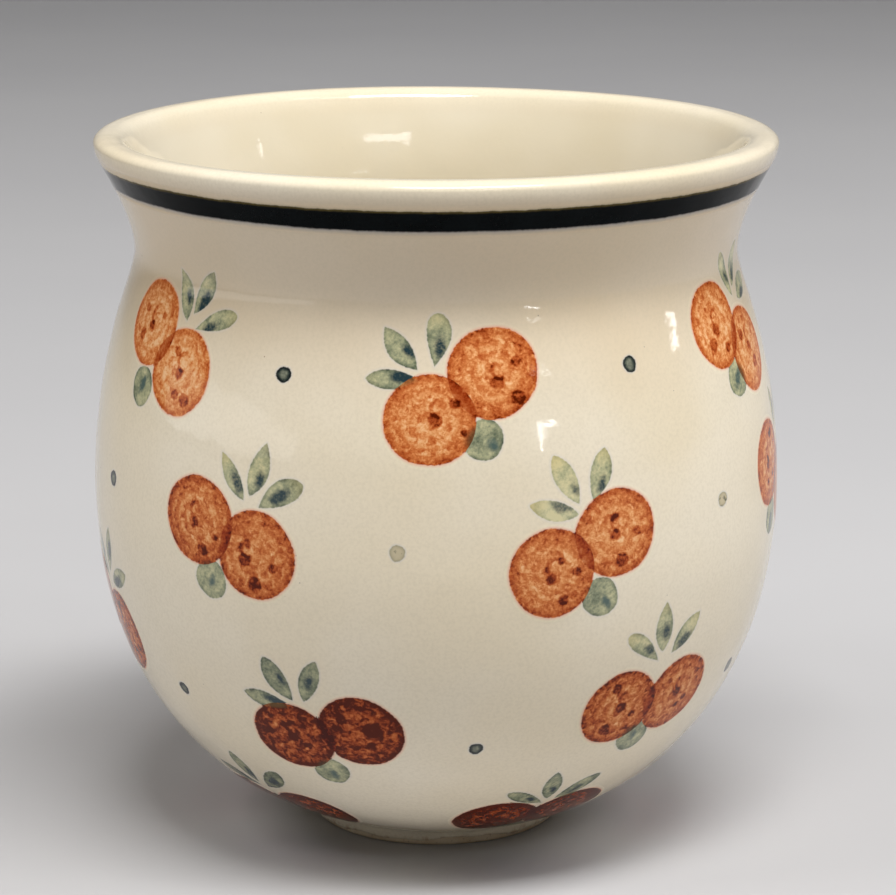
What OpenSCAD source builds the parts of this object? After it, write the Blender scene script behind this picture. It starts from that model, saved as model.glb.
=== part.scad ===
// Round-bellied stoneware mug: a flared lip above a narrow neck, a full belly, a small turned
// foot, an ear-shaped strap handle, a cream glaze and painted sprays of berries in four rows.
// It stands on z = 0 with its axis on Z, and the handle points along +Y. Azimuths are degrees
// from -Y towards +X. The colour marks are thin films lying on the glaze.

/* [Cup] */
// Height from the foot to the top of the lip
mug_h = 95; // [94:0.5:98]
// Widest diameter of the lip
lip_d = 91.3; // [90:0.1:93]
// Narrowest diameter of the neck
neck_d = 81; // [79:0.1:83]
// Height of the narrowest part of the neck
neck_z = 79.6; // [78.5:0.1:80.5]
// Widest diameter of the belly
belly_d = 92.8; // [91:0.1:95]
// Height of the widest part of the belly
belly_z = 46.9; // [45:0.1:49]
// Diameter of the foot ring
foot_d = 34.2; // [32:0.1:36]
// Height of the foot ring
foot_h = 1.5; // [1.2:0.1:1.8]
// Thickness of the wall with its glaze
wall_t = 4.3; // [4:0.1:5]
// Height of the floor inside
floor_z = 7.2; // [6.8:0.1:8]
// Thickness of the glaze coat
glaze_t = 0.35; // [0.3:0.01:0.4]

/* [Handle] */
// Width of the strap
strap_w = 14; // [12:0.5:16]
// Thickness of the strap
strap_t = 8; // [7:0.5:9]
// Distance from the cup's axis to the middle of the strap at its furthest
handle_reach = 73; // [72:0.5:75]
// Height at which the strap is furthest out
handle_z = 57; // [56:0.5:58]

/* [Painting] */
// Diameter of a berry print
berry_d = 11.5; // [10.5:0.1:12]
// Length of a pointed leaf
leaf_l = 7.2; // [6:0.1:7.6]
// Width of a pointed leaf
leaf_w = 2.9; // [2:0.1:3.2]
// Diameter of the round leaf under the berries
round_leaf_d = 5.2; // [4.5:0.1:5.6]
// Diameter of a dot between sprays
dot_d = 2.1; // [1.5:0.1:2.6]
// Height of the lower edge of the dark band
band_z = 88.7; // [88:0.1:89]
// Height of the dark band
band_h = 2.8; // [2:0.1:2.9]
// Thickness of a colour film
paint_t = 0.16; // [0.14:0.01:0.2]

/* [Hidden] */
$fn = 96;

CLAY = [0.80, 0.71, 0.58];
GLAZE = [0.91, 0.88, 0.79];
BLACK_GREEN = [0.07, 0.10, 0.10];
RUST = [0.72, 0.36, 0.19];
LEAF_GREEN = [0.50, 0.55, 0.43];
DARK_GREEN = [0.22, 0.28, 0.25];

// Radii and heights of the glazed surface
lip_r = lip_d / 2;
neck_r = neck_d / 2;
belly_r = belly_d / 2;
foot_r = foot_d / 2;
lip_z = mug_h - 1.1;          // where the lip is widest
lip_flat_r = lip_r - 1.85;    // outer edge of the flat top of the lip
lip_crest_r = lip_r - 2.45;   // inner edge of the flat top of the lip
lip_face_r = 3.9;             // rounding of the lip's outer face
lip_inside_r = 2.5;           // rounding of the lip's inner edge
flare_lean = 30;              // lean of the flare from the vertical
belly_start = [foot_r + 2.65, foot_h + 1.65];
belly_rise = 19.7;            // slope of the belly where it leaves the foot
glaze_end_z = 0.7;            // the glaze is wiped off the foot below this height
foot_wall = 3.4;              // width of the foot ring
foot_edge = 0.55;             // rounding of the foot ring's edges

function reversed(list) = [for (i = [len(list) - 1:-1:0]) list[i]];
function towards(angle) = [cos(angle), sin(angle)];

// A smooth curve between two points that leaves the first and arrives at the last in the
// directions given, each held as far as hold says. It leaves out its first point.
function curve(first, leaving, last, arriving, hold, steps) =
    let (near_first = first + hold[0] * towards(leaving),
         near_last = last - hold[1] * towards(arriving))
    [for (i = [1:steps]) let (t = i / steps, s = 1 - t)
        s^3 * first + 3 * s^2 * t * near_first + 3 * s * t^2 * near_last + t^3 * last];

// An elliptical arc round a centre, without its first point
function arc(centre, size, from, to, steps) =
    [for (i = [1:steps]) let (a = from + (to - from) * i / steps)
        centre + [size[0] * cos(a), size[1] * sin(a)]];

// How far each curve of the wall holds its direction at its two ends
foot_hold = [0.7, 2];
under_belly_hold = [15.8, 23.3];
over_belly_hold = [19.6, 4];
neck_hold = [3, 6];
inside_flare_hold = [6, 4];
inside_neck_hold = [4, 19];
inside_belly_hold = [25, 19];

// Directions on the section of the wall
OUTWARDS = 0;
UP = 90;
INWARDS = 180;
DOWN = 270;

// Outer wall of the glazed cup, [radius, height] from the foot up to the flat of the lip
belly_side = [belly_r, belly_z];
neck_side = [neck_r, neck_z];
lip_face_centre = [lip_r - lip_face_r, lip_z];
flare_top = lip_face_centre + lip_face_r * towards(-flare_lean);
flare_rise = UP - flare_lean;
OUTER_WALL = concat(
    [[foot_r, foot_h]],
    curve([foot_r, foot_h], UP, belly_start, belly_rise, foot_hold, 5),
    curve(belly_start, belly_rise, belly_side, UP, under_belly_hold, 18),
    curve(belly_side, UP, neck_side, UP, over_belly_hold, 14),
    curve(neck_side, UP, flare_top, flare_rise, neck_hold, 8),
    arc(lip_face_centre, [lip_face_r, lip_face_r], -flare_lean, OUTWARDS, 4),
    arc([lip_flat_r, lip_z], [lip_r - lip_flat_r, mug_h - lip_z], OUTWARDS, UP, 6));

// Inner wall, from the crest of the lip down to the middle of the floor
lip_inside_centre = [lip_crest_r, mug_h - lip_inside_r];
inside_flare_top = lip_inside_centre + lip_inside_r * towards(INWARDS - flare_lean);
inside_neck_side = [neck_r - wall_t, neck_z - 1];
inside_belly_side = [belly_r - wall_t, belly_z];
floor_centre = [0, floor_z];
INNER_WALL = concat(
    [[lip_crest_r, mug_h]],
    arc(lip_inside_centre, [lip_inside_r, lip_inside_r], UP, INWARDS - flare_lean, 5),
    curve(inside_flare_top, flare_rise + 180, inside_neck_side, DOWN, inside_flare_hold, 7),
    curve(inside_neck_side, DOWN, inside_belly_side, DOWN, inside_neck_hold, 12),
    curve(inside_belly_side, DOWN, floor_centre, INWARDS, inside_belly_hold, 18));

// The whole glazed surface, from the wiped edge on the foot to the middle of the floor
SKIN = concat([[foot_r, glaze_end_z]], OUTER_WALL, INNER_WALL);

// Unit vector square to a path at one of its points, to the right of the path's direction
function normal_at(path, i) =
    let (step = path[min(i + 1, len(path) - 1)] - path[max(i - 1, 0)])
    [step[1], -step[0]] / norm(step);

// A path moved sideways, never past the axis
function moved(path, distance) =
    [for (i = [0:len(path) - 1]) let (p = path[i] + distance * normal_at(path, i))
        [max(p[0], 0), p[1]]];

CLAY_SKIN = moved(SKIN, -glaze_t);

// Distance along the outer wall from the foot, called its run below
WALL_RUN = [for (i = 0, run = 0; i < len(OUTER_WALL);
                 run = run + norm(OUTER_WALL[min(i + 1, len(OUTER_WALL) - 1)] - OUTER_WALL[i]),
                 i = i + 1) run];
WALL_END = len(OUTER_WALL) - 1;
RUN_TO_RADIUS = [for (i = [0:WALL_END]) [WALL_RUN[i], OUTER_WALL[i][0]]];
RUN_TO_HEIGHT = [for (i = [0:WALL_END]) [WALL_RUN[i], OUTER_WALL[i][1]]];
HEIGHT_TO_RUN = [for (i = [0:WALL_END]) [OUTER_WALL[i][1], WALL_RUN[i]]];
function wall_radius(run) = lookup(run, RUN_TO_RADIUS);
function wall_height(run) = lookup(run, RUN_TO_HEIGHT);
function run_at(height) = lookup(height, HEIGHT_TO_RUN);

// How far the wall's outward normal points above the horizontal
function wall_tilt(run) =
    atan2(wall_radius(run - 1) - wall_radius(run + 1), wall_height(run + 1) - wall_height(run - 1));

// A stretch of the outer wall's points that reaches past both of its ends
function wall_between(low, high) =
    [for (i = [0:WALL_END - 1]) if (WALL_RUN[i + 1] > low && WALL_RUN[max(i - 1, 0)] < high)
        OUTER_WALL[i]];

// A skin of even thickness lying on a path
module film(path, thickness)
    rotate_extrude() polygon(concat(path, reversed(moved(path, thickness))));

// Places its children on the wall, with X level, Y up the wall and Z outwards
module on_wall(azimuth, run, spin)
    rotate([0, 0, azimuth])
    translate([0, -wall_radius(run), wall_height(run)])
    rotate([90 - wall_tilt(run), 0, 0]) rotate([0, 0, spin])
    children();

// Azimuth, height and tilt of each spray, and how far its leaves are shifted across, shifted up
// and turned. The rows are staggered and hand-set, neighbours mostly lean opposite ways, and the
// highest row leaves out the place where the handle joins the wall.
SPRAYS = [
    [4, 68.2, 36, -1.8, -0.8, 0], [64, 70.7, -28, 1.4, 0.6, 0], [124, 69, 30, 0.4, 0.2, 4],
    [245, 69.5, 26, -0.5, 0, -5], [306, 70.7, -32, 2, 0, 4],
    [23.5, 48, 26, 2.6, -0.3, 0], [78, 50.5, -27, 0.3, 0.4, -3], [140, 48.5, 24, 0.8, 0, 5],
    [203, 49, -22, -0.6, 0.3, 0], [264, 48, 30, 0.5, 0, -4], [325, 48.8, -20, 1.8, 0.5, 0],
    [40, 25.6, 1, 0.6, 1.2, 0], [98, 24.5, -14, 0, 0.3, 3], [152.5, 25.5, 13, 0.4, 0, -4],
    [222, 26, -24, -0.4, 0.2, 0], [284.5, 32, -25, 0.4, 0, 2], [340, 22.9, 12, -1.1, -0.3, 12],
    [25, 8, 2, 1, -1.2, 0], [84, 8.5, -8, 0.4, 0, 3], [144, 8, 6, 0, 0.2, 0],
    [205, 8.5, -10, 0.3, 0, -3], [262, 8, 8, -0.3, 0, 0], [315, 7.2, 0, 0, 0, 2]];

// Middle of each mark in a spray, across and up, and its lean
LEFT_BERRY = [-4.9, 0];
RIGHT_BERRY = [4.9, 0];
ROUND_LEAF = [-0.5, -6];
LEFT_LEAF = [-3.7, 7.4];
MIDDLE_LEAF = [-0.6, 9.9];
RIGHT_LEAF = [3.6, 8.2];
LEFT_LEAN = 52;
MIDDLE_LEAN = 4;
RIGHT_LEAN = -44;
print_gap = 0.1;              // room between two marks' edges
mark_depth = 3;               // how far a mark's outline is carried to either side of the wall

// Azimuth and height of each dot between the sprays
DOTS = [
    [34, 70.6], [94, 70.3], [154, 70], [214, 70.4], [273, 70.5], [334, 70],
    [52.5, 51.3], [110, 50.5], [171, 50], [234, 50.5], [293.5, 51.7], [354, 49],
    [7, 21.8], [66, 25.7], [126, 24], [254, 24.5], [309, 25.5]];

// A mark of paint: the film on the wall within the outline that is the child
module mark(azimuth, run, spin, size)
    intersection() {
        film(wall_between(run - size / 2, run + size / 2), paint_t);
        on_wall(azimuth, run, spin)
            translate([0, 0, -mark_depth]) linear_extrude(2 * mark_depth) children();
    }

function rotated(point, angle) =
    [point[0] * cos(angle) - point[1] * sin(angle), point[0] * sin(angle) + point[1] * cos(angle)];

// A mark in one spray, whose own frame turns with its tilt
module mark_in(spray, place, lean, size) {
    offset = rotated(place, spray[2]);
    run = run_at(spray[1]) + offset[1];
    turn = offset[0] / wall_radius(run) * 180 / PI;
    mark(spray[0] + turn, run, spray[2] + lean, size) children();
}

// An outline, which is the child, less the berries that were printed over it
module under_berries(place, lean, berries)
    difference() {
        children();
        for (berry = berries)
            translate(rotated(berry - place, -lean)) circle(d = berry_d + 2 * print_gap);
    }

// The pointed leaf's outline, where two equal arcs cross
module leaf_outline() {
    side_r = (leaf_l^2 + leaf_w^2) / (4 * leaf_w);
    intersection_for (side = [-1, 1])
        translate([side * (side_r - leaf_w / 2), 0]) circle(side_r);
}

// One of the three leaves in every spray
module leaves(place, lean)
    for (spray = SPRAYS) {
        spot = rotated(place, spray[5]) + [spray[3], spray[4]];
        turn = lean + spray[5];
        mark_in(spray, spot, turn, leaf_l)
            under_berries(spot, turn, [LEFT_BERRY, RIGHT_BERRY]) leaf_outline();
    }

// Middle line of the strap handle in the plane x = 0: a small arc above and a wide one below,
// both carried on into the wall. Angles are from the furthest point, upwards.
upper_bend = 20;
lower_bend = 28;
upper_turn = 128;
lower_turn = -98;

// Outline of the strap's section, thickness across and width up
module strap_section(extra)
    polygon([for (a = [0:12:348])
        [(strap_t / 2 + extra) * cos(a), (strap_w / 2 + extra) * sin(a)]]);

// The strap's path, with its section as the child
module along_handle()
    for (bend = [[upper_bend, 0, upper_turn], [lower_bend, lower_turn, 0]])
        translate([0, handle_reach - bend[0], handle_z]) rotate([90, 0, 90])
        rotate_extrude(angle = bend[2] - bend[1], start = bend[1])
        translate([bend[0], 0]) children();

// The stretch of wall that the strap reaches, and what lies behind it, for trimming the strap
handle_bottom = 14;
handle_top = 84;
handle_wall = wall_between(run_at(handle_bottom), run_at(handle_top));
behind_r = 20;                // a radius that the strap doesn't reach
module behind_wall()
    rotate_extrude() polygon(concat(
        [[behind_r, handle_wall[0][1]]],
        handle_wall,
        [[behind_r, handle_wall[len(handle_wall) - 1][1]]]));

// The slip between a strap end and the clay, as thick as the glaze, in a range of heights
module slip_joint(low, high)
    color(CLAY) intersection() {
        film(moved(wall_between(run_at(low), run_at(high)), -glaze_t), glaze_t);
        along_handle() strap_section(0);
    }

// The clay above the foot, inside the glaze, whose first two points lie on the foot ring
module cup_body() color(CLAY)
    rotate_extrude() polygon(concat(
        [[0, foot_h], [foot_r - glaze_t, foot_h]],
        [for (i = [2:len(CLAY_SKIN) - 1]) CLAY_SKIN[i]]));

// The bare ring it stands on, with both lower edges rounded
ring_inside = foot_r - foot_wall;
ring_outside = foot_r - glaze_t;
module foot_ring() color(CLAY)
    rotate_extrude() polygon(concat(
        [[ring_inside, foot_h], [ring_inside, foot_edge]],
        arc([ring_inside + foot_edge, foot_edge], [foot_edge, foot_edge], INWARDS, DOWN, 4),
        [[ring_outside - foot_edge, 0]],
        arc([ring_outside - foot_edge, foot_edge], [foot_edge, foot_edge], DOWN, 360, 4),
        [[ring_outside, foot_h]]));

module body_glaze() color(GLAZE)
    difference() {
        rotate_extrude() polygon(concat(SKIN, reversed(CLAY_SKIN)));
        along_handle() strap_section(0);
    }

module base_glaze() color(GLAZE)
    translate([0, 0, foot_h - glaze_t]) cylinder(r = ring_inside, h = glaze_t);

module handle() color(CLAY)
    difference() {
        along_handle() strap_section(0);
        behind_wall();
    }

module handle_glaze() color(GLAZE)
    difference() {
        along_handle() difference() {
            strap_section(glaze_t);
            strap_section(0);
        }
        behind_wall();
    }

module upper_slip_joint() slip_joint(handle_z, handle_top);

module lower_slip_joint() slip_joint(handle_bottom, handle_z);

module rim_band() color(BLACK_GREEN)
    intersection() {
        film(wall_between(run_at(band_z), run_at(band_z + band_h)), paint_t);
        translate([0, 0, band_z]) cylinder(r = 2 * lip_r, h = band_h);
    }

module left_berries() color(RUST)
    for (spray = SPRAYS)
        mark_in(spray, LEFT_BERRY, 0, berry_d) circle(d = berry_d);

module right_berries() color(RUST)
    for (spray = SPRAYS)
        mark_in(spray, RIGHT_BERRY, 0, berry_d)
        under_berries(RIGHT_BERRY, 0, [LEFT_BERRY]) circle(d = berry_d);

module left_leaves() color(LEAF_GREEN) leaves(LEFT_LEAF, LEFT_LEAN);

module middle_leaves() color(LEAF_GREEN) leaves(MIDDLE_LEAF, MIDDLE_LEAN);

module right_leaves() color(LEAF_GREEN) leaves(RIGHT_LEAF, RIGHT_LEAN);

module round_leaves() color(LEAF_GREEN)
    for (spray = SPRAYS)
        mark_in(spray, ROUND_LEAF, 0, round_leaf_d)
        under_berries(ROUND_LEAF, 0, [LEFT_BERRY, RIGHT_BERRY]) circle(d = round_leaf_d);

module dots() color(DARK_GREEN)
    for (dot = DOTS)
        mark(dot[0], run_at(dot[1]), 0, dot_d) circle(d = dot_d);

cup_body();
foot_ring();
body_glaze();
base_glaze();
handle();
handle_glaze();
upper_slip_joint();
lower_slip_joint();
rim_band();
left_berries();
right_berries();
left_leaves();
middle_leaves();
right_leaves();
round_leaves();
dots();
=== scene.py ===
"""Looks of the round-bellied stoneware mug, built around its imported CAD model.

Shapes are worked out in millimetres, in the CAD's frame: +Z up, the handle towards +Y and the
camera on the -Y side. An azimuth is in degrees from -Y towards +X. A run is a length measured up
the outer wall from the foot.
"""
import math
import random
from collections import namedtuple

import bmesh
import bpy
import numpy as np
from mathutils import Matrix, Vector


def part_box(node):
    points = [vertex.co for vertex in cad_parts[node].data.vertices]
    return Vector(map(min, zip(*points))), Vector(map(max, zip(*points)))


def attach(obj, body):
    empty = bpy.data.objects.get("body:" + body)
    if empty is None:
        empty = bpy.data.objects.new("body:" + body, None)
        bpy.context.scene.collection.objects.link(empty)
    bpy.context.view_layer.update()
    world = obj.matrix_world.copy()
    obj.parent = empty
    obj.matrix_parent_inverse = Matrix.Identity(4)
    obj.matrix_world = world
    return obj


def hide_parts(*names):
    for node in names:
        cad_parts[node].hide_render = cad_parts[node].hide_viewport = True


MM = 0.001

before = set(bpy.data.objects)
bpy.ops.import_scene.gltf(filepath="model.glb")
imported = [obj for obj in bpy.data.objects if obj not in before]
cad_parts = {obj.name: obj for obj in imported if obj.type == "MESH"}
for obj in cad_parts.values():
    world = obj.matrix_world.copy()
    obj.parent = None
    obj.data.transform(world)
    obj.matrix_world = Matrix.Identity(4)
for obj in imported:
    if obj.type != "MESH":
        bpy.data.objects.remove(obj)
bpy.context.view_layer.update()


# ---- Sizes, in millimetres ----------------------------------------------------------------

def box_mm(node):
    """Lowest and highest corner of a CAD node."""
    low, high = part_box(node)
    return np.array(low) / MM, np.array(high) / MM


glaze_low, glaze_high = box_mm("body_glaze")
ring_high = box_mm("foot_ring")[1]
band_low, band_high = box_mm("rim_band")

GLAZE_T = 0.35
MUG_H = float(glaze_high[2])
BELLY_R = float(glaze_high[0])
FOOT_H = float(ring_high[2])
RING_OUTSIDE = float(ring_high[0])
FOOT_R = RING_OUTSIDE + GLAZE_T
RING_INSIDE = FOOT_R - 3.4
FOOT_EDGE = 0.55
BELLY_Z = 46.9
NECK_R = 40.5
NECK_Z = 79.6
LIP_R = 45.65
LIP_Z = MUG_H - 1.1
LIP_FLAT_R = LIP_R - 1.85
LIP_CREST_R = LIP_R - 2.45
LIP_FACE_R = 3.9
LIP_INSIDE_R = 2.5
FLARE_LEAN = 30
BELLY_START = (FOOT_R + 2.65, FOOT_H + 1.65)
BELLY_RISE = 19.7
WALL_T = 4.3
FLOOR_Z = 7.2
GLAZE_END_Z = float(glaze_low[2])
BAND_Z = float(band_low[2])
BAND_H = float(band_high[2] - band_low[2])

STRAP_W = 14
STRAP_T = 8
HANDLE_REACH = 73
HANDLE_Z = 57
UPPER_BEND = 20
LOWER_BEND = 28
UPPER_TURN = 128
LOWER_TURN = -98
STRAP_SIDES = 56
STRAP_SQUARENESS = 2.3
GROOVE_T = 0.45
GROOVE_W = 2.6
FILLET_T = 2.4
FILLET_REACH = 4.5
FILLET_CURVE = 2.4
FILLET_END = 3.2
FILLET_FADE = 1.6


# ---- The wall -----------------------------------------------------------------------------

def towards(angle):
    return np.array([math.cos(math.radians(angle)), math.sin(math.radians(angle))])


def curve(first, leaving, last, arriving, hold, steps):
    """A smooth curve that holds its direction at each end for a length, less its first point."""
    first, last = np.array(first, float), np.array(last, float)
    near_first = first + hold[0] * towards(leaving)
    near_last = last - hold[1] * towards(arriving)
    t = np.linspace(0, 1, steps + 1)[1:, None]
    s = 1 - t
    return s**3 * first + 3 * s**2 * t * near_first + 3 * s * t**2 * near_last + t**3 * last


def arc(centre, size, start, end, steps):
    """An elliptical arc, less its first point."""
    angles = np.radians(np.linspace(start, end, steps + 1)[1:])
    return np.array(centre) + np.stack([size[0] * np.cos(angles), size[1] * np.sin(angles)], 1)


def along(path):
    """Length along a path at each of its points."""
    return np.concatenate([[0], np.cumsum(np.linalg.norm(np.diff(path, axis=0), axis=1))])


def outer_wall():
    """Radius and height of the glazed wall, from the foot to the flat of the lip."""
    foot, belly, neck = (FOOT_R, FOOT_H), (BELLY_R, BELLY_Z), (NECK_R, NECK_Z)
    lip_centre = (LIP_R - LIP_FACE_R, LIP_Z)
    flare_top = lip_centre + LIP_FACE_R * towards(-FLARE_LEAN)
    return np.concatenate([
        [foot],
        curve(foot, 90, BELLY_START, BELLY_RISE, (0.7, 2), 10),
        curve(BELLY_START, BELLY_RISE, belly, 90, (15.8, 23.3), 56),
        curve(belly, 90, neck, 90, (19.6, 4), 40),
        curve(neck, 90, flare_top, 90 - FLARE_LEAN, (3, 6), 18),
        arc(lip_centre, (LIP_FACE_R, LIP_FACE_R), -FLARE_LEAN, 0, 10),
        arc((LIP_FLAT_R, LIP_Z), (LIP_R - LIP_FLAT_R, MUG_H - LIP_Z), 0, 90, 14)])


def inner_wall():
    """Radius and height of the inside, from the crest of the lip to the middle of the floor."""
    lip_centre = (LIP_CREST_R, MUG_H - LIP_INSIDE_R)
    flare_top = lip_centre + LIP_INSIDE_R * towards(180 - FLARE_LEAN)
    neck, belly = (NECK_R - WALL_T, NECK_Z - 1), (BELLY_R - WALL_T, BELLY_Z)
    return np.concatenate([
        [(LIP_CREST_R, MUG_H)],
        arc(lip_centre, (LIP_INSIDE_R, LIP_INSIDE_R), 90, 180 - FLARE_LEAN, 10),
        curve(flare_top, 270 - FLARE_LEAN, neck, 270, (6, 4), 14),
        curve(neck, 270, belly, 270, (4, 19), 28),
        curve(belly, 270, (0, FLOOR_Z), 180, (25, 19), 44)])


OUTER = outer_wall()
OUTER_RUN = along(OUTER)
FINE_RUN = np.linspace(0, OUTER_RUN[-1], 6000)
FINE = np.stack([np.interp(FINE_RUN, OUTER_RUN, OUTER[:, k]) for k in (0, 1)], 1)


def normals(path):
    """Unit vectors square to a path, to the right of its direction."""
    step = np.gradient(path, axis=0)
    return np.stack([step[:, 1], -step[:, 0]], 1) / np.linalg.norm(step, axis=1)[:, None]


FINE_NORMAL = normals(FINE)


def run_at(height):
    return float(np.interp(height, FINE[:, 1], FINE_RUN))


def radius_at(run):
    return float(np.interp(run, FINE_RUN, FINE[:, 0]))


def wobble(angle, run):
    """How far the hand-thrown wall stands off its true round."""
    return (0.07 * np.sin(2 * angle + 0.6)
            + 0.05 * np.sin(3 * angle - 0.9 + run / 40)
            + 0.03 * np.sin(5 * angle + 1.7 - run / 22)
            + 0.015 * np.sin(run / 2.1 + 0.6 * np.sin(angle)))


def turned(radius, height, angle):
    """Points at a radius and height, turned round the axis from -Y towards +X."""
    return np.stack([radius * np.sin(angle), -radius * np.cos(angle),
                     height + 0 * angle], -1)


def on_wall(azimuth, run, spin, flat, lift):
    """Lays flat points, across and up, on the wall round a spot and lifts them off it. Gives
    their places and the wall's directions there."""
    here = int(np.searchsorted(FINE_RUN, run))
    radius, height = FINE[here]
    out, rise = FINE_NORMAL[here]
    turn = math.radians(spin)
    across = flat[:, 0] * math.cos(turn) - flat[:, 1] * math.sin(turn)
    up = flat[:, 0] * math.sin(turn) + flat[:, 1] * math.cos(turn)
    depth = radius - up * rise
    reach = np.hypot(depth, across)
    angle = math.radians(azimuth) + np.arctan2(across, depth)
    level = height + up * out
    near = np.argmin((reach[:, None] - FINE[None, :, 0])**2
                     + (level[:, None] - FINE[None, :, 1])**2, axis=1)
    off = lift + wobble(angle, FINE_RUN[near])
    places = turned(FINE[near, 0] + off * FINE_NORMAL[near, 0],
                    FINE[near, 1] + off * FINE_NORMAL[near, 1], angle)
    return places, turned(FINE_NORMAL[near, 0], FINE_NORMAL[near, 1], angle)


# ---- Meshes -------------------------------------------------------------------------------

SHARP_ANGLE = math.radians(50)


def loft(rings, first_pole=None, last_pole=None):
    """Vertices and faces of rings joined in order, with a fan of faces to each pole."""
    count = len(rings[0])
    verts = [tuple(p) for ring in rings for p in ring]
    faces = []
    for i in range(len(rings) - 1):
        for j in range(count):
            k = (j + 1) % count
            faces.append((i * count + j, i * count + k, (i + 1) * count + k, (i + 1) * count + j))
    for pole, start, flip in ((first_pole, 0, True), (last_pole, (len(rings) - 1) * count, False)):
        if pole is not None:
            verts.append(tuple(pole))
            for j in range(count):
                pair = (start + j, start + (j + 1) % count)
                faces.append((*(pair[::-1] if flip else pair), len(verts) - 1))
    return verts, faces


def joined_mesh(name, parts):
    """One mesh of several lofts, smooth except across its sharp edges."""
    verts, faces = [], []
    for part_verts, part_faces in parts:
        base = len(verts)
        verts += [tuple(np.array(p) * MM) for p in part_verts]
        faces += [tuple(base + i for i in face) for face in part_faces]
    mesh = bpy.data.meshes.new(name)
    mesh.from_pydata(verts, [], faces)
    shell = bmesh.new()
    shell.from_mesh(mesh)
    bmesh.ops.recalc_face_normals(shell, faces=shell.faces)
    for face in shell.faces:
        face.smooth = True
    for edge in shell.edges:
        edge.smooth = edge.calc_face_angle(0) < SHARP_ANGLE
    shell.to_mesh(mesh)
    shell.free()
    return mesh


def add_piece(name, parts, material, replaced, attributes=None, directions=None):
    """Makes one piece of several lofts, which rides on the root body. Directions, when they are
    given, are its normals."""
    mesh = joined_mesh(name, parts)
    if directions is not None:
        mesh.normals_split_custom_set_from_vertices([tuple(d) for d in directions])
    for label, values in (attributes or {}).items():
        flat = np.asarray(values, np.float32)
        kind = "FLOAT" if flat.ndim == 1 else "FLOAT_VECTOR"
        field = "value" if flat.ndim == 1 else "vector"
        mesh.attributes.new(label, kind, "POINT").data.foreach_set(field, flat.ravel())
    mesh.materials.append(material)
    piece = bpy.data.objects.new(name, mesh)
    bpy.context.scene.collection.objects.link(piece)
    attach(piece, "root")
    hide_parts(*replaced)


# ---- Material nodes -----------------------------------------------------------------------

def srgb(red, green, blue):
    """A colour from 0 to 255 as Blender's linear values."""
    def linear(level):
        level /= 255
        return level / 12.92 if level <= 0.04045 else ((level + 0.055) / 1.055)**2.4
    return (linear(red), linear(green), linear(blue), 1.0)


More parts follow.
